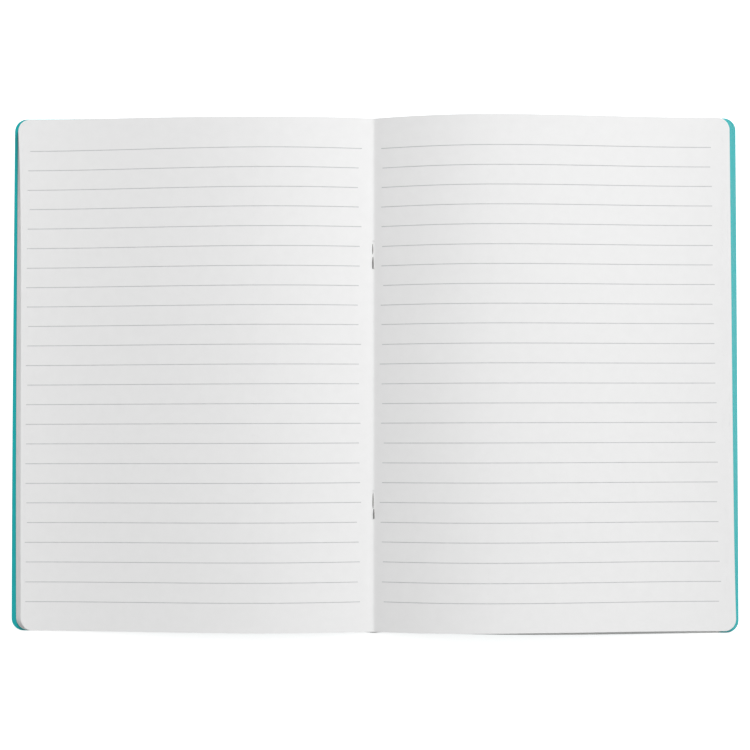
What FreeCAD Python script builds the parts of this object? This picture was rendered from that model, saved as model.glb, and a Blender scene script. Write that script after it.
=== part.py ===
import FreeCAD, Part
import collections
import math
import os

# A ruled exercise notebook that lies open at its centre spread.
# Folded sheets lie inside a folded card cover, and two wire staples through the fold hold them.
# Either half rises from the fold in a low arch and comes down flat on the table at its fore edge.
# Millimetres. +X runs across the spread to the right page, +Y up the page and +Z up.
# The origin is on the table, straight under the middle of the fold.

# Driving dimensions of the cover and the sheets
PAGE_HEIGHT = 209.0
COVER_HEIGHT = 210.8
COVER_HALF_WIDTH = 148.0
COVER_CORNER_RADIUS = 5.0
PAGE_CORNER_RADIUS = 5.0
CARD_THICKNESS = 0.4
LEAVES_PER_HALF = 20
LEAF_THICKNESS = 0.1
PAGE_SETBACK = 1.7
LEFT_CREEP = 1.1
RIGHT_CREEP = 0.4

# Driving dimensions of the arches, heights above the level that each surface has at the fore edge
FLAT_EDGE_WIDTH = 6.0
LEFT_PEAK_DISTANCE = 48.0
LEFT_COVER_RISE = 5.6
LEFT_PAGE_RISE = 7.0
LEFT_COVER_SLOPE = 11.5
LEFT_PAGE_SLOPE = 14.0
RIGHT_PEAK_DISTANCE = 46.0
RIGHT_COVER_RISE = 7.6
RIGHT_PAGE_RISE = 9.2
RIGHT_COVER_SLOPE = 16.0
RIGHT_PAGE_SLOPE = 19.0

# Driving dimensions of the staples
WIRE_DIAMETER = 0.55
STAPLE_CROWN = 11.2
STAPLE_BEND_RADIUS = 0.5
CLINCH_GAP = 0.9
UPPER_STAPLE_Y = 48.3
LOWER_STAPLE_Y = -53.3

# Clearances, and how far untrimmed stock reaches past the trimmed edges
FOLD_GAP = 0.1
STAPLE_CLEARANCE = 0.1
PAGE_CLEARANCE = 0.15
TRIM_WASTE = 2.0

# Levels that follow from the sizes above
STACK_THICKNESS = LEAVES_PER_HALF * LEAF_THICKNESS
WIRE_RADIUS = WIRE_DIAMETER / 2
CARD_FOLD_Z = WIRE_DIAMETER
PAGE_SEAT = CARD_THICKNESS + PAGE_CLEARANCE
PAGE_EDGE_Z = PAGE_SEAT + STACK_THICKNESS
VALLEY_Z = CARD_FOLD_Z + PAGE_EDGE_Z
STEEPEST_SLOPE = math.radians(max(LEFT_PAGE_SLOPE, RIGHT_PAGE_SLOPE))
CLINCH_Z = VALLEY_Z + (WIRE_RADIUS + STAPLE_CLEARANCE) / math.cos(STEEPEST_SLOPE)
FOLD_FACE_DISTANCE = FOLD_GAP / 2
LANDING_DISTANCE = COVER_HALF_WIDTH - FLAT_EDGE_WIDTH

# The shape of either half; side is -1 left of the fold and 1 right of it
Half = collections.namedtuple(
    "Half", "side peak_distance cover_rise cover_slope page_rise page_slope creep"
)
LEFT_HALF = Half(
    side=-1,
    peak_distance=LEFT_PEAK_DISTANCE,
    cover_rise=LEFT_COVER_RISE,
    cover_slope=LEFT_COVER_SLOPE,
    page_rise=LEFT_PAGE_RISE,
    page_slope=LEFT_PAGE_SLOPE,
    creep=LEFT_CREEP,
)
RIGHT_HALF = Half(
    side=1,
    peak_distance=RIGHT_PEAK_DISTANCE,
    cover_rise=RIGHT_COVER_RISE,
    cover_slope=RIGHT_COVER_SLOPE,
    page_rise=RIGHT_PAGE_RISE,
    page_slope=RIGHT_PAGE_SLOPE,
    creep=RIGHT_CREEP,
)


def arch(fold_z, edge_z, peak_distance, rise, slope):
    """Distances from the fold and heights of the poles of a half's three stretches, fold to fore edge.

    The first climbs from the fold at the given slope and levels out at the peak, the second comes
    down to the table and levels out there, and the third is the flat strip along the fore edge,
    which runs on into the waste.
    """
    start = FOLD_FACE_DISTANCE
    third = (peak_distance - start) / 3
    peak_z = edge_z + rise
    reach = (LANDING_DISTANCE - peak_distance) / 3
    climb = [
        (start, fold_z),
        (start + third, fold_z + third * math.tan(math.radians(slope))),
        (peak_distance - third, peak_z),
        (peak_distance, peak_z),
    ]
    descent = [
        (peak_distance, peak_z),
        (peak_distance + reach, peak_z),
        (LANDING_DISTANCE - reach, edge_z),
        (LANDING_DISTANCE, edge_z),
    ]
    flat = [(LANDING_DISTANCE, edge_z), (COVER_HALF_WIDTH + TRIM_WASTE, edge_z)]
    return [climb, descent, flat]


def edge_through(poles, side, y):
    """One stretch of an arch as an edge in the plane at y: a line or a cubic Bezier curve."""
    points = [FreeCAD.Vector(side * distance, y, z) for distance, z in poles]
    if len(points) == 2:
        return Part.makeLine(points[0], points[1])
    curve = Part.BezierCurve()
    curve.setPoles(points)
    return curve.toShape()


def layer(side, lower, upper):
    """The untrimmed solid between two arches of one half."""
    y = -COVER_HEIGHT / 2 - TRIM_WASTE
    edges = [edge_through(poles, side, y) for poles in lower + upper]
    for stretch, end in ((0, 0), (-1, -1)):
        edges.append(edge_through([lower[stretch][end], upper[stretch][end]], side, y))
    outline = Part.Wire(Part.__sortEdges__(edges))
    return Part.Face(outline).extrude(FreeCAD.Vector(0, COVER_HEIGHT + 2 * TRIM_WASTE, 0))


def rounded_path(points, radius):
    """Edges along the points, where an arc of the radius turns each right-angled corner."""
    edges = []
    start = points[0]
    for before, corner, after in zip(points, points[1:], points[2:]):
        back = (before - corner).normalize()
        ahead = (after - corner).normalize()
        arc_start = corner + back * radius
        arc_middle = corner + (back + ahead) * (radius * (1 - math.sqrt(0.5)))
        arc_end = corner + ahead * radius
        edges.append(Part.makeLine(start, arc_start))
        edges.append(Part.Arc(arc_start, arc_middle, arc_end).toShape())
        start = arc_end
    edges.append(Part.makeLine(start, points[-1]))
    return edges


def trimmed_plan(side, half_width, half_height, corner_radius, edge_z, high_z, drift):
    """A prism with the plan of one trimmed half, its two fore-edge corners rounded.

    Its fore edge stands at half_width at the level edge_z. Going up it moves towards the fold,
    by drift for each millimetre. It starts one waste under edge_z and ends one over high_z, and
    it reaches past the fold, where the stock already has its face.
    """
    low_z = edge_z - TRIM_WASTE
    depth = high_z + TRIM_WASTE - low_z
    outer = side * (half_width + drift * TRIM_WASTE)
    inner = -side * TRIM_WASTE
    tail = FreeCAD.Vector(inner, -half_height, low_z)
    tail_corner = FreeCAD.Vector(outer, -half_height, low_z)
    head_corner = FreeCAD.Vector(outer, half_height, low_z)
    head = FreeCAD.Vector(inner, half_height, low_z)
    edges = rounded_path([tail, tail_corner, head_corner, head], corner_radius)
    plan = Part.Face(Part.Wire(edges + [Part.makeLine(head, tail)]))
    return plan.extrude(FreeCAD.Vector(-side * drift * depth, 0, depth))


def staple(centre_y, wire_radius):
    """A staple as driven and clinched: crown under the card, legs up through the fold, ends inward."""

    def at(y, z):
        return FreeCAD.Vector(0, centre_y + y, z)

    half = STAPLE_CROWN / 2
    tip = CLINCH_GAP / 2
    crown_z = WIRE_DIAMETER / 2
    corners = [
        at(-tip, CLINCH_Z),
        at(-half, CLINCH_Z),
        at(-half, crown_z),
        at(half, crown_z),
        at(half, CLINCH_Z),
        at(tip, CLINCH_Z),
    ]
    path = Part.Wire(rounded_path(corners, STAPLE_BEND_RADIUS))
    section = Part.Wire(Part.makeCircle(wire_radius, corners[0], FreeCAD.Vector(0, 1, 0)))
    return path.makePipeShell([section], True, False)


def pierced(solid):
    """The solid with a free way for both staples, one clearance wider than the wire."""
    for centre_y in (UPPER_STAPLE_Y, LOWER_STAPLE_Y):
        solid = solid.cut(staple(centre_y, WIRE_RADIUS + STAPLE_CLEARANCE))
    return solid


def card_arch(half, level):
    """The arch of the card's underside, raised by level."""
    return arch(CARD_FOLD_Z + level, level, half.peak_distance, half.cover_rise, half.cover_slope)


def cover_half(half):
    """One half of the card cover, from the fold to its rounded fore edge."""
    card = layer(half.side, card_arch(half, 0.0), card_arch(half, CARD_THICKNESS))
    high_z = CARD_FOLD_Z + CARD_THICKNESS + half.cover_rise
    plan = trimmed_plan(
        half.side, COVER_HALF_WIDTH, COVER_HEIGHT / 2, COVER_CORNER_RADIUS, 0.0, high_z, 0.0
    )
    return pierced(card.common(plan))


def page_half(half):
    """The leaves of one half, from just over the card up to the page that shows.

    Each leaf ends a little short of the one under it, and over the whole stack that is the creep.
    """
    page = arch(VALLEY_Z, PAGE_EDGE_Z, half.peak_distance, half.page_rise, half.page_slope)
    stack = layer(half.side, card_arch(half, PAGE_SEAT), page)
    lowest_leaf = COVER_HALF_WIDTH - PAGE_SETBACK
    high_z = VALLEY_Z + half.page_rise
    drift = half.creep / STACK_THICKNESS
    plan = trimmed_plan(
        half.side, lowest_leaf, PAGE_HEIGHT / 2, PAGE_CORNER_RADIUS, PAGE_SEAT, high_z, drift
    )
    return pierced(stack.common(plan))


def main():
    parts = {
        "front_cover": cover_half(LEFT_HALF),
        "back_cover": cover_half(RIGHT_HALF),
        "left_pages": page_half(LEFT_HALF),
        "right_pages": page_half(RIGHT_HALF),
        "upper_staple": staple(UPPER_STAPLE_Y, WIRE_RADIUS),
        "lower_staple": staple(LOWER_STAPLE_Y, WIRE_RADIUS),
    }
    os.makedirs("parts", exist_ok=True)
    for name, shape in parts.items():
        shape.exportStep("parts/" + name + ".step")
        box = shape.optimalBoundingBox(False, False)
        print(
            f"{name}: solids {len(shape.Solids)}, valid {shape.isValid()}, volume {shape.Volume:.2f}, "
            f"X {box.XMin:.2f} to {box.XMax:.2f}, Y {box.YMin:.2f} to {box.YMax:.2f}, "
            f"Z {box.ZMin:.2f} to {box.ZMax:.2f}"
        )
    print(f"the fold turns about the clinched legs, {CLINCH_Z:.4f} over the table")


main()
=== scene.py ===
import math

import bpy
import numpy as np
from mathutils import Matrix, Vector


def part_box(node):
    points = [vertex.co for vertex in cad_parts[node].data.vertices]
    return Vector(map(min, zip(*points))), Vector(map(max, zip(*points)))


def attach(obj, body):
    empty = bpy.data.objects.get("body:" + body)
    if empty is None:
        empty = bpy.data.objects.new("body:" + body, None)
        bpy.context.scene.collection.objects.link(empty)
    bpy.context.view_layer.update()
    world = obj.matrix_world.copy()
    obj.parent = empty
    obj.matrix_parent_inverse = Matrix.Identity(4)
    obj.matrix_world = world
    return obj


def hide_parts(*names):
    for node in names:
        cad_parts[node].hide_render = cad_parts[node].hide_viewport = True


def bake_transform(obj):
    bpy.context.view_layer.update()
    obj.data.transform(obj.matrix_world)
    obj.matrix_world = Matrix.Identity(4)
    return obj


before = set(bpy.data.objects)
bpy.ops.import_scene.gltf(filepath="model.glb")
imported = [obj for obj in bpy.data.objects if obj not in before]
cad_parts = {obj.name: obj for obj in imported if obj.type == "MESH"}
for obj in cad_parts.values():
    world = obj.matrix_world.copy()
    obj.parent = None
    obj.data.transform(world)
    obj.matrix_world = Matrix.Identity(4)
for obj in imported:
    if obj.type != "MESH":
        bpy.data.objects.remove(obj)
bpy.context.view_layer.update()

# %% [markdown]
# # An open exercise notebook
# A school notebook lies open at its centre spread, seen from straight above. Folded sheets lie in
# a folded card cover, and two wire staples hold them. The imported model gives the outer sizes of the
# cover, the pages and the staples. The sizes of shapes are in millimetres, and only the last step of
# each piece turns them to metres.

MM = 0.001
COVERS = {-1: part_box("front_cover")[1] / MM, 1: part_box("back_cover")[1] / MM}
PAGES = {-1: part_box("left_pages")[1] / MM, 1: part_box("right_pages")[1] / MM}
PAGE_HALF_HEIGHT = PAGES[1].y
COVER_HALF_HEIGHT = COVERS[1].y
COVER_HALF_WIDTH = COVERS[1].x
print("page half height", round(PAGE_HALF_HEIGHT, 2))
print("cover half height and half width", round(COVER_HALF_HEIGHT, 2), round(COVER_HALF_WIDTH, 2))

# %% [markdown]
# ## The camera
# The lens looks down from 62 cm, a little to the right of the fold and below the middle of the page.
# From there the raised arch of either page spreads its ruled lines by a pixel or two, as in the
# photograph, and the right page rises a little more than the left.

# %% Camera
CAMERA_PLACE = (0.01193, -0.02382, 0.620)
CAMERA_TURN = (0.03752, 0.01826, 0.00065)
SENSOR_WIDTH = 36.0
LENS_LENGTH = 72.9
camera_data = bpy.data.cameras.new("camera")
camera_data.sensor_width = SENSOR_WIDTH
camera_data.lens = LENS_LENGTH
camera = bpy.data.objects.new("camera", camera_data)
camera.location = CAMERA_PLACE
camera.rotation_euler = CAMERA_TURN
bpy.context.scene.collection.objects.link(camera)
bpy.context.scene.camera = camera
print("camera at", CAMERA_PLACE)

# %% [markdown]
# ## The arch of a half
# Paper that is stapled in a fold can't lie flat: each half climbs from the fold, levels out and comes
# down to the table at its fore edge. The arch is two cubic curves whose poles are evenly spaced in
# the distance from the fold, so the height at any distance is a short formula for whole arrays.
# A small rounding keeps the fold from being a knife cut.

# %% Arch
CARD_THICKNESS = 0.4
CARD_FOLD_Z = 0.55
PAGE_SEAT = 0.55
PAGE_EDGE_Z = 2.55
VALLEY_Z = CARD_FOLD_Z + PAGE_EDGE_Z
FLAT_EDGE_WIDTH = 6.0
LANDING_DISTANCE = COVER_HALF_WIDTH - FLAT_EDGE_WIDTH
FOLD_ROUNDING = 0.9
PEAK_DISTANCE = {-1: 48.0, 1: 46.0}
PEAKS = [side * PEAK_DISTANCE[side] for side in (-1, 1)]
COVER_RISE = {side: COVERS[side].z - CARD_THICKNESS for side in (-1, 1)}
PAGE_RISE = {side: PAGES[side].z - PAGE_EDGE_Z for side in (-1, 1)}
COVER_SLOPE = {-1: 11.5, 1: 16.0}
PAGE_SLOPE = {-1: 14.0, 1: 19.0}


def cubic(t, a, b, c, d):
    """Height on a cubic Bezier curve: a(1-t)^3 + 3b(1-t)^2 t + 3c(1-t)t^2 + d t^3."""
    s = 1 - t
    return a * s**3 + 3 * b * s**2 * t + 3 * c * s * t**2 + d * t**3


def half_arch(distance, fold_z, edge_z, peak_distance, rise, slope):
    """Height at a distance from the fold: up to the peak in one curve, then down and level."""
    peak_z = edge_z + rise
    first_pole = fold_z + peak_distance / 3 * math.tan(math.radians(slope))
    climb = cubic(np.clip(distance / peak_distance, 0, 1), fold_z, first_pole, peak_z, peak_z)
    t = np.clip((distance - peak_distance) / (LANDING_DISTANCE - peak_distance), 0, 1)
    descent = cubic(t, peak_z, peak_z, edge_z, edge_z)
    return np.where(distance < peak_distance, climb, descent)


def arch(x, fold_z, edge_z, rise, slope):
    """Height at x over both halves. The fold is rounded: its distance d counts as d(1 - e^(-d/r))."""
    d = np.abs(x)
    d = d * (1 - np.exp(-d / FOLD_ROUNDING))
    halves = [
        half_arch(d, fold_z, edge_z, PEAK_DISTANCE[side], rise[side], slope[side]) for side in (-1, 1)
    ]
    return np.where(x < 0, halves[0], halves[1])


def card_height(x, level):
    """Height of the card's underside at x, raised by level."""
    return arch(x, CARD_FOLD_Z + level, level, COVER_RISE, COVER_SLOPE)


print("peaks", [round(float(card_height(x, CARD_THICKNESS)), 2) for x in PEAKS])

# %% [markdown]
# ## Thin sheets as closed shells
# Card, paper and even a printed line are thin things with two faces and a rim. Each is a grid in two
# parameters, one for the upper face and one for the lower, and the rim is a strip of quads round
# both. One function closes any number of such shells at once, so nothing is built point by point.

# %% Shells
SHARP_ANGLE = math.radians(50)


def shell_faces(count, rows, columns):
    """Quads of count closed shells. Each has rows x columns upper points, then as many lower ones."""
    index = np.arange(rows * columns).reshape(rows, columns)
    upper = [index[:-1, :-1], index[1:, :-1], index[1:, 1:], index[:-1, 1:]]
    top = np.stack([corner.ravel() for corner in upper], axis=1)
    bottom = top[:, ::-1] + rows * columns
    ring = np.concatenate([index[:-1, 0], index[-1, :-1], index[:0:-1, -1], index[0, :0:-1]])
    ahead = np.roll(ring, -1)
    rim = np.stack([ahead, ring, ring + rows * columns, ahead + rows * columns], axis=1)
    one = np.concatenate([top, bottom, rim])
    shift = np.arange(count) * 2 * rows * columns
    return (one[None] + shift[:, None, None]).reshape(-1, 4)


def add_mesh(name, points, faces, smooth=True):
    """An object at the origin from points in millimetres and quads, with smooth or flat faces."""
    mesh = bpy.data.meshes.new(name)
    mesh.from_pydata((points * MM).tolist(), [], faces.tolist())
    mesh.polygons.foreach_set("use_smooth", np.full(len(faces), smooth))
    if smooth:
        mesh.set_sharp_from_angle(angle=SHARP_ANGLE)
    mesh.update()
    piece = bpy.data.objects.new(name, mesh)
    bpy.context.scene.collection.objects.link(piece)
    return piece


def add_shells(name, upper, lower):
    """An object of closed shells from arrays of upper and lower points (count, rows, columns, 3)."""
    count, rows, columns = upper.shape[:3]
    points = np.stack([upper, lower], axis=1).reshape(-1, 3)
    piece = add_mesh(name, points, shell_faces(count, rows, columns))
    print(f"{name}: {count} shells, {2 * len(piece.data.polygons)} triangles")
    return piece


# %% [markdown]
# ## The outline of a trimmed sheet
# A guillotine and a corner cutter give the leaves and the card their straight edges and round
# corners. The grid's first parameter runs across the spread and its second up the page. Towards the
# fore edge each column is shorter, by the formula of the corner's circle, so nothing has to be cut.
# Columns lie closer together at the fold and the corners, where the shape turns fastest.

# %% Outline
CORNER_RADIUS = 5.0
CORNER_COLUMNS = 9
FOLD_COLUMNS = ((0, 3, 0.25), (3, 9, 0.6))
OPEN_COLUMN = 3.2
HEAD_DIP = 0.45
HEAD_DIP_PLACE = -48.0
HEAD_DIP_SPREAD = 28.0


def across(half_width):
    """Distances from the fold, denser at the fold and in the round corners, out to both sides."""
    inner = half_width - CORNER_RADIUS
    fold = np.concatenate([np.arange(*stretch) for stretch in FOLD_COLUMNS])
    fold_end = FOLD_COLUMNS[-1][1]
    middle = np.linspace(fold_end, inner, int((inner - fold_end) / OPEN_COLUMN) + 1)
    turn = np.linspace(0, math.pi / 2, CORNER_COLUMNS + 1)[1:]
    corner = inner + CORNER_RADIUS * np.sin(turn)
    half = np.concatenate([fold, middle, corner])
    return np.concatenate([-half[:0:-1], half])


def corner_drop(distance, half_width):
    """How much shorter a column is at each end: R - sqrt(R^2 - (d - (W - R))^2)."""
    into_corner = np.clip(distance - (half_width - CORNER_RADIUS), 0, CORNER_RADIUS)
    return CORNER_RADIUS - np.sqrt(CORNER_RADIUS**2 - into_corner**2)


def trimmed_grid(half_width, head, foot, rows):
    """x and y of a trimmed sheet's grid, columns first; head and foot give its ends at each x."""
    x = across(half_width)
    drop = corner_drop(np.abs(x), half_width)
    share = (1 + np.sin(np.linspace(-1, 1, rows) * math.pi / 2)) / 2
    low, high = (foot(x) + drop)[:, None], (head(x) - drop)[:, None]
    y = low + (high - low) * share[None, :]
    return np.broadcast_to(x[:, None], y.shape), y


def head_dip(x):
    """How far the head edges dip in the middle of the left half: a bell curve of the distance."""
    return HEAD_DIP * np.exp(-(((x - HEAD_DIP_PLACE) / HEAD_DIP_SPREAD) ** 2))


def down_the_page(y):
    """0 at the head of the page and 1 at its foot."""
    return np.clip(0.5 - y / PAGE_HALF_HEIGHT / 2, 0, 1)


print("columns in a sheet", len(across(COVER_HALF_WIDTH)))

# %% [markdown]
# ## The cover
# The cover is one piece of coloured card, folded once. Its two halves are one surface here, with a
# rounded fold, because a real cover has no gap there.
# It stands out beyond the pages by very little: as a hairline at the head on the left, as a small
# step at the foot of the spine, and at the foot on the right, where its edge is a little bowed and
# lies in the shade of the pages.

# %% Cover
CARD_ROWS = 41
HEAD_MARGIN = 0.7
HEAD_SKEW = 0.001
HEAD_LIFT = 0.11
HEAD_LIFT_SPAN = (-95.0, -110.0)
FOOT_MARGIN = 0.7
FOOT_BOW = 0.4
FOOT_BOW_START = 38.0
FOOT_BOW_LENGTH = 112.0
SPINE_BUMP = 0.46
SPINE_BUMP_SPREAD = 3.0
CARD_DRAWN_IN = {-1: 0.55, 1: 0.4}
CARD_DRAWN_POWER = {-1: 3, 1: 2}


def bends(piece):
    """Turns the piece's place into its points, so that it stands at the origin."""
    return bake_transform(piece)


def smooth_step(value, start, end):
    """0 before the start, 1 after the end, and 3t^2 - 2t^3 between them."""
    t = np.clip((value - start) / (end - start), 0, 1)
    return t * t * (3 - 2 * t)


def card_head(x):
    """y of the card's head edge: a line a little askew, dipped as the pages are, higher at the left."""
    lift = HEAD_LIFT * smooth_step(x, *HEAD_LIFT_SPAN)
    return COVER_HALF_HEIGHT - HEAD_MARGIN - HEAD_SKEW * x - head_dip(x) + lift


def card_foot(x):
    """y of the card's foot edge: half a sine's bow on the right, and the spine stands out a little."""
    bow = FOOT_BOW * np.sin(math.pi * np.clip((x - FOOT_BOW_START) / FOOT_BOW_LENGTH, 0, 1))
    bump = SPINE_BUMP * np.exp(-((x / SPINE_BUMP_SPREAD) ** 2))
    return FOOT_MARGIN - COVER_HALF_HEIGHT - bow - bump


def card_end(side, y):
    """Where the card ends at the height y: drawn in towards the foot by a power of the way down."""
    return COVER_HALF_WIDTH - CARD_DRAWN_IN[side] * down_the_page(y) ** CARD_DRAWN_POWER[side]


card_x, card_y = trimmed_grid(COVER_HALF_WIDTH, card_head, card_foot, CARD_ROWS)
card_x = card_x * np.where(card_x < 0, card_end(-1, card_y), card_end(1, card_y)) / COVER_HALF_WIDTH
card_z = [card_height(card_x, level) for level in (CARD_THICKNESS, 0.0)]
cover = add_shells("cover", *(np.stack([card_x, card_y, z], axis=-1)[None] for z in card_z))
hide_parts("front_cover", "back_cover")
bends(cover)

# %% [markdown]
# ## The surface of the open page
# The page that shows is the top of the stack. Handled paper is never quite even, so slow waves run
# through it, at most 0.16 mm deep. The stack under it fans out from the fore edge to the peak.

# %% Page surface
WAVE_DEPTH = 0.16
WAVES = ((31, 44, 0.6, 1.0), (-57, 23, 0.0, 1.0), (29, 13, 2.0, 0.7))
WAVE_TOTAL = sum(strength for *_, strength in WAVES)
CALM_EDGE = 4.0


def page_wave(x, y):
    """How far the page lies under its even arch, as a sum of waves s sin(x/a + y/b + c).

    There is none at the fold and along the fore edges.
    """
    slow = sum(strength * np.sin(x / a + y / b + start) for a, b, start, strength in WAVES)
    calm = np.sin(np.clip(np.abs(x) / (COVER_HALF_WIDTH - CALM_EDGE), 0, 1) * math.pi)
    return WAVE_DEPTH * calm * (slow - WAVE_TOTAL) / (2 * WAVE_TOTAL)


def page_height(x, y):
    """Height of the upper face of the open page at x, y."""
    return arch(x, VALLEY_Z, PAGE_EDGE_Z, PAGE_RISE, PAGE_SLOPE) + page_wave(x, y)


heights = [round(float(page_height(x, 0.0)), 2) for x in (0.0, *PEAKS)]
print("page at the fold and the peaks", heights)

# %% [markdown]
# ## Where the sheets end
# The sheets are not quite square to the cover. On the left each leaf steps back from the one under
# it, more towards the foot of the page, and the steps show as a thin grey strip beside the page. On
# the right the leaves end together and show a strip of the cover, which narrows at the foot corner.

# %% Sheet ends
SHEETS = 20
LEAF_THICKNESS = 0.085
LEFT_SETBACK = 1.3
LEFT_SLANT = 0.3
LEFT_SLANT_POWER = 0.6
LEFT_FOOT_SETBACK = 0.9
LEFT_FOOT_POWER = 3
LEFT_FAN = 0.3
LEFT_FAN_GROWTH = 2.0
LEFT_FAN_REACH = 0.15
RIGHT_SETBACK = 2.75
RIGHT_SLANT = 0.5
RIGHT_FOOT_GROWTH = 0.7
RIGHT_FOOT_POWER = 8
RIGHT_FAN = 0.15
HEAD_TRIM = 0.1
FOOT_STEP = 0.65
FOOT_STEP_SPAN = (0.0, 75.0)


def left_setback(down, share):
    """Left sheets: powers of the way down for the lowest, and a fan that grows as 1 - e^(-down/r)."""
    slant = LEFT_SLANT * down**LEFT_SLANT_POWER
    lowest = LEFT_SETBACK + slant + LEFT_FOOT_SETBACK * down**LEFT_FOOT_POWER
    return lowest + share * (LEFT_FAN + LEFT_FAN_GROWTH * (1 - np.exp(-down / LEFT_FAN_REACH)))


def right_setback(down, share):
    """Right sheets: a straight slant, a late growth as a high power of the way down, a thin fan."""
    late = RIGHT_FOOT_GROWTH * down**RIGHT_FOOT_POWER
    return RIGHT_SETBACK - RIGHT_SLANT * down - late + RIGHT_FAN * share


def end_distance(side, y, share):
    """Where a sheet ends at the height y; share is 0 for the lowest sheet and 1 for the top one."""
    setback = left_setback if side < 0 else right_setback
    return COVER_HALF_WIDTH - setback(down_the_page(y), share)


def page_head(x):
    """y of the head edge, which dips a little in the middle of the left page."""
    return PAGE_HALF_HEIGHT - HEAD_TRIM - head_dip(x)


def page_foot(x):
    """y of the foot edge, which steps up a little across the right page."""
    return -PAGE_HALF_HEIGHT + FOOT_STEP * smooth_step(x, *FOOT_STEP_SPAN)


def sheet_grid(share, rows):
    """x and y of one sheet's grid points, with its fore edges drawn in to where they end."""
    x, y = trimmed_grid(COVER_HALF_WIDTH, page_head, page_foot, rows)
    left = x * end_distance(-1, y, share) / COVER_HALF_WIDTH
    right = x * end_distance(1, y, share) / COVER_HALF_WIDTH
    return np.where(x < 0, left, right), y


print("top sheet ends at", [round(float(end_distance(side, 0.0, 1.0)), 2) for side in (-1, 1)])

# %% [markdown]
# ## The sheets under the open page
# Nineteen folded sheets lie between the card and the page that shows. Each is a shell of its own.
# They share the height between the card and the page. At the fold and the fore edge they are
# pressed together evenly. Between the two the gaps differ from sheet to sheet, as in a book that has
# been leafed.

# %% Under sheets
SHEET_ROWS = 17
random = np.random.default_rng(20)
GAP_SPREAD = 0.45
GAP_WEIGHTS = random.uniform(1 - GAP_SPREAD, 1 + GAP_SPREAD, SHEETS)
GAP_SHARES = np.cumsum(GAP_WEIGHTS) / GAP_WEIGHTS.sum()


def sheet_top(number, x, y):
    """Height of a sheet's upper face: its share of the way from the card to the open page."""
    even = (number + 1) / SHEETS
    loose = np.sin(np.clip(np.abs(x) / COVER_HALF_WIDTH, 0, 1) * math.pi) ** 2
    share = even + (GAP_SHARES[number] - even) * loose
    low = card_height(x, PAGE_SEAT)
    return low + (page_height(x, y) - low) * share


def sheet_points(number, rows):
    """Upper and lower points of one sheet."""
    x, y = sheet_grid(number / (SHEETS - 1), rows)
    top = sheet_top(number, x, y)
    return [np.stack([x, y, top - drop], axis=-1) for drop in (0.0, LEAF_THICKNESS)]


stack = [sheet_points(number, SHEET_ROWS) for number in range(SHEETS - 1)]
under_sheets = add_shells("under_sheets", *(np.stack(faces) for faces in zip(*stack)))
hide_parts("left_pages", "right_pages")
bends(under_sheets)

# %% [markdown]
# ## The open page
# The sheet on top is the one that the light falls on, so it gets a finer grid.

# %% Centre sheet
CENTRE_ROWS = 73
centre_faces = sheet_points(SHEETS - 1, CENTRE_ROWS)
centre_sheet = add_shells("centre_sheet", *(face[None] for face in centre_faces))
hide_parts("left_pages", "right_pages")
bends(centre_sheet)

# %% [markdown]
# ## Ruled lines
# A pen ruling machine draws all the lines of a page at once, eight millimetres apart. The pens start
# and lift at slightly different places, and the paper runs in a little askew. Each line is a thin
# ribbon on the page, so it keeps its sharp edges at any picture size.

# %% Rules
RULES = 24
RULE_POINTS = 110
RULE_PITCH = 8.0
RULE_WIDTH = 0.30
RULE_PROUD = 0.012
RULE_SPAN = {-1: (5.8, 141.7), 1: (3.4, 138.6)}
RULE_DRIFT = {-1: (-0.25, -0.0037), 1: (-0.27, 0.0030)}
RULE_LEAN = {-1: 0.002, 1: -0.0135}
RULE_DEPTH = 0.02
START_SCATTER = 0.35
END_SCATTER = 0.3
LINE_SCATTER = 0.04


def rule_ribbons(side):
    """Upper and lower points of a page's ruled lines: y = y0 + offset + drift x distance."""
    line_y = RULE_PITCH * (np.arange(RULES) - (RULES - 1) / 2)[:, None]
    near, far = RULE_SPAN[side]
    offset, drift = RULE_DRIFT[side]
    near = near + random.normal(0, START_SCATTER, (RULES, 1))
    far = far + RULE_LEAN[side] * line_y + random.normal(0, END_SCATTER, (RULES, 1))
    distance = near + (far - near) * np.linspace(0, 1, RULE_POINTS)[None, :]
    x = side * distance
    y = line_y + offset + drift * distance + random.normal(0, LINE_SCATTER, (RULES, 1))
    across_rule = np.array([-0.5, 0.5]) * RULE_WIDTH * side
    x = np.broadcast_to(x[..., None], x.shape + (2,))
    y = y[..., None] + across_rule
    z = page_height(x, y)
    return [np.stack([x, y, z + rise], axis=-1) for rise in (RULE_PROUD, -RULE_DEPTH)]


left_rules = add_shells("left_rules", *rule_ribbons(-1))
right_rules = add_shells("right_rules", *rule_ribbons(1))
for rules, body in ((left_rules, "front_half"), (right_rules, "back_half")):
    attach(rules, body)

# %% [markdown]
# ## Staples
# A staple is driven from outside the fold, its crown lies under the card and its legs are bent over
# on the open page. The wire comes up through the paper, turns in a short curve and ends in a cut tip
# that points at its partner. The lower leg of each staple lies on the paper. The upper one is pressed
# into the fold and comes out towards its tip. The tube is built round a path, with whole arrays of
# ring points.

# %% Staples
WIRE_RADIUS = 0.29
WIRE_SIDES = 20
WIRE_STEP = 0.05
BEND_REACH = 0.9
TIP_LENGTH = 1.8
TIP_SHARE = 0.4
TIP_POWER = 0.7
POINT_RADIUS = 0.0001
POINT_STEP = 0.02
STAPLE_NODES = {"staple_upper": "upper_staple", "staple_lower": "lower_staple"}
LOWER_LEG_UP = 0.14
LOWER_LEG_RISES = {"tip": -0.15, "middle": 0.05, "bend": -0.15}
LOWER_LEG_MIDDLE = 0.6
UPPER_LEG_UP = -0.14
UPPER_LEG_RISES = {"tip": 0.06, "middle": -0.02, "bend": -0.17}
UPPER_LEG_MIDDLE = 0.5


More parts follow.
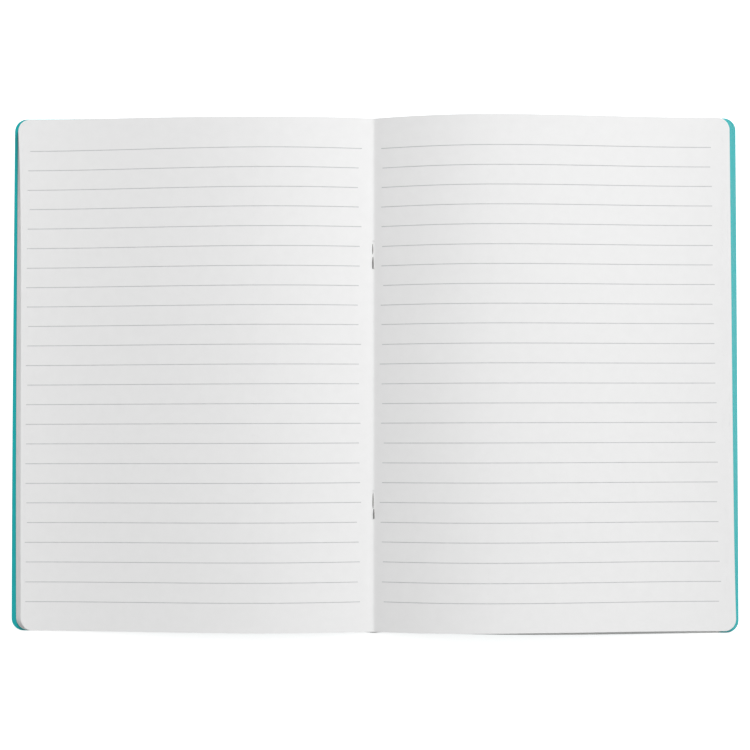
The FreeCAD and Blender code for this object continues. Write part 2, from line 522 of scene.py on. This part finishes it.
def smooth_path(corners):
    """Points along a bent line, each the mean of its neighbourhood, so that every corner turns."""
    corners = np.array(corners, float)
    run = np.concatenate([[0], np.cumsum(np.linalg.norm(np.diff(corners, axis=0), axis=1))])
    s = np.arange(0, run[-1], WIRE_STEP)
    line = np.stack([np.interp(s, run, corners[:, axis]) for axis in range(3)], axis=1)
    window = int(BEND_REACH / WIRE_STEP) | 1
    padded = np.pad(line, ((window // 2, window // 2), (0, 0)), mode="edge")
    kernel = np.ones(window) / window
    return np.stack([np.convolve(padded[:, axis], kernel, mode="valid") for axis in range(3)], axis=1)


def disc_quads(ring):
    """Quads that fill a ring with an even number of points: each joins a side to the one opposite."""
    side = np.arange(len(ring) // 2 - 1)
    return np.stack([ring[side], ring[side + 1], ring[-2 - side], ring[-1 - side]], axis=-1)


def tube(path, radii):
    """Ring points and quads of a closed wire: path + r (cos a U + sin a V), with U and V across it."""
    sides = WIRE_SIDES
    along = np.gradient(path, axis=0)
    along /= np.linalg.norm(along, axis=1)[:, None]
    v = np.cross(np.array([1.0, 0, 0]), along)
    v /= np.linalg.norm(v, axis=1)[:, None]
    u = np.cross(v, along)
    angle = np.arange(sides) * 2 * math.pi / sides
    ring = u[:, None] * np.cos(angle)[None, :, None] + v[:, None] * np.sin(angle)[None, :, None]
    points = path[:, None] + ring * radii[:, None, None]
    index = np.arange(len(path) * sides).reshape(len(path), sides)
    turned = np.roll(index, -1, axis=1)
    walls = np.stack([index[:-1], turned[:-1], turned[1:], index[1:]], axis=-1).reshape(-1, 4)
    caps = [disc_quads(index[0, ::-1]), disc_quads(index[-1])]
    return points.reshape(-1, 3), np.concatenate([walls, *caps])


def closed_tube(path, radii):
    """The tube with its ends drawn in to a point in two last rings."""
    ends = np.concatenate([path[:1], path, path[-1:]])
    ends[0] -= (path[1] - path[0]) * POINT_STEP
    ends[-1] += (path[-1] - path[-2]) * POINT_STEP
    return tube(ends, np.concatenate([[POINT_RADIUS], radii, [POINT_RADIUS]]))


def staple(name, lower_leg, upper_leg):
    """A clinched staple where its node stands.

    A leg is its sideways place and how far up the page its tip is from the middle of the staple.
    """
    node = STAPLE_NODES[name]
    low, high = (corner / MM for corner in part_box(node))
    centre = (low.y + high.y) / 2
    half = (high.y - low.y) / 2 - WIRE_RADIUS
    (a, a_tip), (b, b_tip) = lower_leg, upper_leg
    a_z = {at: VALLEY_Z + LOWER_LEG_UP + rise for at, rise in LOWER_LEG_RISES.items()}
    b_z = {at: VALLEY_Z + UPPER_LEG_UP + rise for at, rise in UPPER_LEG_RISES.items()}
    path = smooth_path(
        [
            (a, centre + a_tip, a_z["tip"]),
            (a, centre - half * LOWER_LEG_MIDDLE, a_z["middle"]),
            (a, centre - half, a_z["bend"]),
            (0, centre - half, low.z + WIRE_RADIUS),
            (0, centre + half, low.z + WIRE_RADIUS),
            (b, centre + half, b_z["bend"]),
            (b, centre + half * UPPER_LEG_MIDDLE, b_z["middle"]),
            (b, centre + b_tip, b_z["tip"]),
        ]
    )
    from_end = np.minimum(np.arange(len(path)), np.arange(len(path))[::-1]) * WIRE_STEP
    full = np.clip(from_end / TIP_LENGTH, 0, 1) ** TIP_POWER
    radii = WIRE_RADIUS * (TIP_SHARE + (1 - TIP_SHARE) * full)
    piece = add_mesh(name, *closed_tube(path, radii))
    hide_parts(node)
    print(f"{name}: centre at y {centre:.1f}, {2 * len(piece.data.polygons)} triangles")
    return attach(piece, "back_half")


upper_wire = staple("staple_upper", lower_leg=(-0.20, -0.7), upper_leg=(-0.35, 0.1))
lower_wire = staple("staple_lower", lower_leg=(0.20, -1.5), upper_leg=(-0.12, -1.6))

# %% [markdown]
# ## Materials
# Each finish is a small node tree on Object coordinates, in metres. The helper puts in a node and
# sets its inputs, so that a material reads as a list of what the surface does.

# %% Material helper
def node_adder(tree):
    """A function that adds a node to an emptied tree, with its settings, values and links."""
    tree.nodes.clear()

    def add(kind, inputs=(), **settings):
        node = tree.nodes.new(kind)
        for key, value in settings.items():
            setattr(node, key, value)
        for key, value in dict(inputs).items():
            if isinstance(value, bpy.types.NodeSocket):
                tree.links.new(value, node.inputs[key])
            else:
                node.inputs[key].default_value = value
        return node

    return add


def new_material(name):
    """A material with an empty node tree, and the function that adds nodes to it."""
    material = bpy.data.materials.new(name)
    material.use_nodes = True
    return material, node_adder(material.node_tree)


def finish_surface(add, colour, roughness, normal, metallic=0.0, shine=0.5):
    """A surface from a colour, a roughness and a bump; shine is how much of a mirror its face is."""
    inputs = {"Base Color": colour, "Roughness": roughness, "Normal": normal}
    inputs.update({"Metallic": metallic, "Specular IOR Level": shine})
    shader = add("ShaderNodeBsdfPrincipled", inputs)
    add("ShaderNodeOutputMaterial", {"Surface": shader.outputs["BSDF"]})


def mix_colours(add, factor, a, b):
    """The colour between a and b, which are the node's sockets 6 and 7; the mix is its output 2."""
    node = add("ShaderNodeMix", {0: factor, 6: a, 7: b}, data_type="RGBA")
    return node.outputs[2]


def noise(add, place, scale, detail):
    """The value of a noise at a place, from 0 to 1; scale is in features for each metre."""
    return add("ShaderNodeTexNoise", {"Vector": place, "Scale": scale, "Detail": detail}).outputs["Fac"]


def bump(add, height, strength, distance, normal=None):
    """The normal of a bumpy surface, on top of another bump's normal where one is given."""
    inputs = {"Height": height, "Strength": strength, "Distance": distance}
    if normal is not None:
        inputs["Normal"] = normal
    return add("ShaderNodeBump", inputs).outputs["Normal"]


def ramp(add, value, start, end):
    """0 before the start, 1 after the end, and a smooth step between them."""
    inputs = {"Value": value, "From Min": start, "From Max": end}
    return add("ShaderNodeMapRange", inputs, interpolation_type="SMOOTHSTEP").outputs["Result"]


def roughness_between(add, value, limits):
    """A roughness from the first limit, where the value is 0, to the second, where it is 1."""
    low, high = limits
    return add("ShaderNodeMapRange", {"Value": value, "To Min": low, "To Max": high}).outputs["Result"]


def maths(add, operation, a, b=0.0):
    """A value worked out from one or two others."""
    return add("ShaderNodeMath", {0: a, 1: b}, operation=operation).outputs[0]


# %% [markdown]
# ## Paper
# Writing paper is nearly white and matt. Close up it is a felt of fibres: a very fine grain, a cloudy
# formation of a few millimetres where the pulp lies thicker or thinner, and slow dips that the hand
# leaves. Round each of the four staple holes the paper is painted a little darker, as the shade in the
# hole.

# %% Paper material
PAPER_LIGHT = (0.83, 0.83, 0.83, 1)
PAPER_DARK = (0.79, 0.79, 0.79, 1)
FIBRES = {"scale": 2600, "detail": 2}
FIBRE_BUMP = {"strength": 0.3, "distance": 0.00003}
# Painted shade: the paper round each staple hole is made darker, for the shade in the hole.
HOLE_SHADE = (0.70, 0.70, 0.70, 1)
HOLE_EDGE = 0.0002
HOLE_REACH = 0.0008
HOLE_INSET = 0.0003


def paper_material(name, holes):
    """White paper with grain, formation and, where asked, painted shade round the staple holes."""
    material, add = new_material(name)
    place = add("ShaderNodeTexCoord").outputs["Object"]
    formation = noise(add, place, scale=260, detail=5)
    grain = noise(add, place, **FIBRES)
    colour = mix_colours(add, formation, PAPER_DARK, PAPER_LIGHT)
    for hole in holes:
        away = add("ShaderNodeVectorMath", {0: place, 1: hole}, operation="DISTANCE").outputs["Value"]
        # Painted shade round each staple hole.
        colour = mix_colours(add, ramp(add, away, HOLE_EDGE, HOLE_REACH), HOLE_SHADE, colour)
    slow = bump(add, formation, strength=0.25, distance=0.00012)
    fine = bump(add, grain, **FIBRE_BUMP, normal=slow)
    finish_surface(add, colour, roughness=0.82, normal=fine)
    return material


hole_places = []
for node in STAPLE_NODES.values():
    low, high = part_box(node)
    for y in (low.y + HOLE_INSET, high.y - HOLE_INSET):
        hole_places.append((0.0, y, VALLEY_Z * MM))
centre_sheet.data.materials.append(paper_material("page_paper", hole_places))
under_sheets.data.materials.append(paper_material("under_paper", []))
print("staple holes at", [tuple(round(v, 4) for v in hole) for hole in hole_places])

# %% [markdown]
# ## Ruling ink
# The lines are a thin grey ink that sinks into the paper, so they show the paper's own grain. The
# ink's strength changes along each line.

# %% Ink material
INK = (0.42, 0.43, 0.44, 1)
INK_THIN = (0.60, 0.60, 0.61, 1)


def ink_material():
    """Grey ink that is stronger and weaker along the line, on the grain of the paper."""
    material, add = new_material("ruling_ink")
    place = add("ShaderNodeTexCoord").outputs["Object"]
    colour = mix_colours(add, noise(add, place, scale=420, detail=4), INK, INK_THIN)
    grain = noise(add, place, **FIBRES)
    finish_surface(add, colour, roughness=0.8, normal=bump(add, grain, **FIBRE_BUMP))
    return material


for rules in (left_rules, right_rules):
    rules.data.materials.append(ink_material())

# %% [markdown]
# ## Cover card
# The card is teal, with the dull shine of a coated board: a faint grain and a little unevenness in
# the colour. Along the foot a pale grey band is painted: where the card shows beyond the pages it lies
# in their shade and stands in for the thin grey shadow line under the foot edge. The band is drawn
# from the height on the card, made uneven by the same cloud.

# %% Card material
TEAL = (0.005, 0.40, 0.41, 1)
TEAL_DEEP = (0.003, 0.335, 0.355, 1)
# Pale grey painted in a band along the foot: in the pages' shade it stands in for the shadow line
# there.
PAINTED_SHADOW_GREY = (0.60, 0.61, 0.60, 1)
SHADOW_BAND_FROM = -0.1032
SHADOW_BAND_TO = -0.1037
SHADOW_BAND_LENGTH = 0.141
SHADOW_BAND_FADE = 0.002
SHADOW_BAND_UNEVEN = 0.0003
CARD_ROUGHNESS = (0.16, 0.24)


def painted_shadow_band(add, place, cloud):
    """1 in the painted shadow band along the foot: a ramp in y, moved by the cloud, that ends before
    the corners.
    """
    axes = add("ShaderNodeSeparateXYZ", {"Vector": place}).outputs
    uneven = maths(add, "ADD", axes["Y"], maths(add, "MULTIPLY", cloud, SHADOW_BAND_UNEVEN))
    near_foot = ramp(add, uneven, SHADOW_BAND_FROM, SHADOW_BAND_TO)
    beside = ramp(add, maths(add, "ABSOLUTE", axes["X"]), SHADOW_BAND_LENGTH, SHADOW_BAND_LENGTH - SHADOW_BAND_FADE)
    return maths(add, "MULTIPLY", near_foot, beside)


def card_material():
    """Teal card with cloudy colour, fine grain, a half-dull surface and a painted shadow band at the
    foot.
    """
    material, add = new_material("cover_card")
    place = add("ShaderNodeTexCoord").outputs["Object"]
    cloud = noise(add, place, scale=180, detail=5)
    colour = mix_colours(add, cloud, TEAL_DEEP, TEAL)
    # Painted shadow: the pale grey band along the foot, in place of the shadow line under the edge.
    colour = mix_colours(add, painted_shadow_band(add, place, cloud), colour, PAINTED_SHADOW_GREY)
    grain = noise(add, place, scale=3600, detail=3)
    fine = bump(add, grain, strength=0.2, distance=0.00003)
    finish_surface(add, colour, roughness_between(add, cloud, CARD_ROUGHNESS), fine, shine=0.25)
    return material


cover.data.materials.append(card_material())

# %% [markdown]
# ## Staple wire
# Staples are cut from drawn steel wire, so fine scratches run along them and they have a soft shine.

# %% Wire material
STEEL = (0.26, 0.26, 0.255, 1)
STEEL_DULL = (0.13, 0.13, 0.127, 1)
SCRATCH_SCALE = (5000, 500, 5000)
WIRE_ROUGHNESS = (0.28, 0.45)


def wire_material():
    """Drawn steel: bright metal with dull streaks."""
    material, add = new_material("staple_wire")
    place = add("ShaderNodeTexCoord").outputs["Object"]
    stretched = add("ShaderNodeMapping", {"Vector": place, "Scale": SCRATCH_SCALE}).outputs["Vector"]
    streaks = noise(add, stretched, scale=1, detail=3)
    colour = mix_colours(add, streaks, STEEL_DULL, STEEL)
    rough = roughness_between(add, streaks, WIRE_ROUGHNESS)
    scratches = bump(add, streaks, strength=0.3, distance=0.00002)
    finish_surface(add, colour, rough, scratches, metallic=1.0)
    return material


for wire in (upper_wire, lower_wire):
    wire.data.materials.append(wire_material())

# %% [markdown]
# ## Table and light
# The photograph is a cut-out on white, lit softly from the right and a little from above. A large
# lamp far to the right gives either page its shade, and a pale sky fills in the rest. A small panel
# nearly overhead is what the strip of card on the right mirrors. The table is plain. For the camera,
# a mirror or glass it glows a little, so that it goes white but keeps a faint shadow, and the sky is
# white too. The rays that light the notebook see a grey sky and a plain table.

# %% Table
FLOOR_HALF = 3.0
FLOOR_GREY = (0.8, 0.8, 0.8, 1)
FLOOR_GLOW = 0.68


def seen_rays(add):
    """1 for a ray of the camera, a mirror or glass, and 0 for a ray that carries light."""
    rays = add("ShaderNodeLightPath").outputs
    seen = maths(add, "MAXIMUM", rays["Is Camera Ray"], rays["Is Glossy Ray"])
    return maths(add, "MAXIMUM", seen, rays["Is Transmission Ray"])


def floor_material():
    """A plain pale table, with the glow added where it is seen."""
    material, add = new_material("table")
    diffuse = add("ShaderNodeBsdfDiffuse", {"Color": FLOOR_GREY})
    light = add("ShaderNodeEmission", {"Strength": maths(add, "MULTIPLY", seen_rays(add), FLOOR_GLOW)})
    both = add("ShaderNodeAddShader", {0: diffuse.outputs[0], 1: light.outputs[0]})
    add("ShaderNodeOutputMaterial", {"Surface": both.outputs[0]})
    return material


corners = np.array([(-1, -1, 0), (1, -1, 0), (1, 1, 0), (-1, 1, 0)]) * FLOOR_HALF / MM
floor = add_mesh("table", corners, np.array([[0, 1, 2, 3]]), smooth=False)
floor.data.materials.append(floor_material())

# %% Light
KEY_PLACE = (1.20, 2.6, 1.9)
KEY_SIZE = (1.0, 1.0)
KEY_POWER = 108.0
PANEL_PLACE = (0.50, 0.10, 1.6)
PANEL_SIZE = (0.9, 0.16)
PANEL_POWER = 4.5
SKY = (0.328, 0.328, 0.328, 1)
WHITE = (1, 1, 1, 1)


def add_lamp(name, place, size, power):
    """A rectangular area lamp that faces the middle of the notebook."""
    lamp = bpy.data.lights.new(name, "AREA")
    lamp.shape = "RECTANGLE"
    lamp.size, lamp.size_y = size
    lamp.energy = power
    holder = bpy.data.objects.new(name, lamp)
    holder.location = place
    holder.rotation_euler = (-holder.location).to_track_quat("-Z", "Y").to_euler()
    bpy.context.scene.collection.objects.link(holder)


add_lamp("key", KEY_PLACE, KEY_SIZE, KEY_POWER)
add_lamp("panel", PANEL_PLACE, PANEL_SIZE, PANEL_POWER)
sky = bpy.data.worlds.new("sky")
sky.use_nodes = True
add = node_adder(sky.node_tree)
background = add("ShaderNodeBackground", {"Color": mix_colours(add, seen_rays(add), SKY, WHITE)})
add("ShaderNodeOutputWorld", {"Surface": background.outputs[0]})
bpy.context.scene.world = sky
bpy.context.scene.view_settings.view_transform = "Standard"
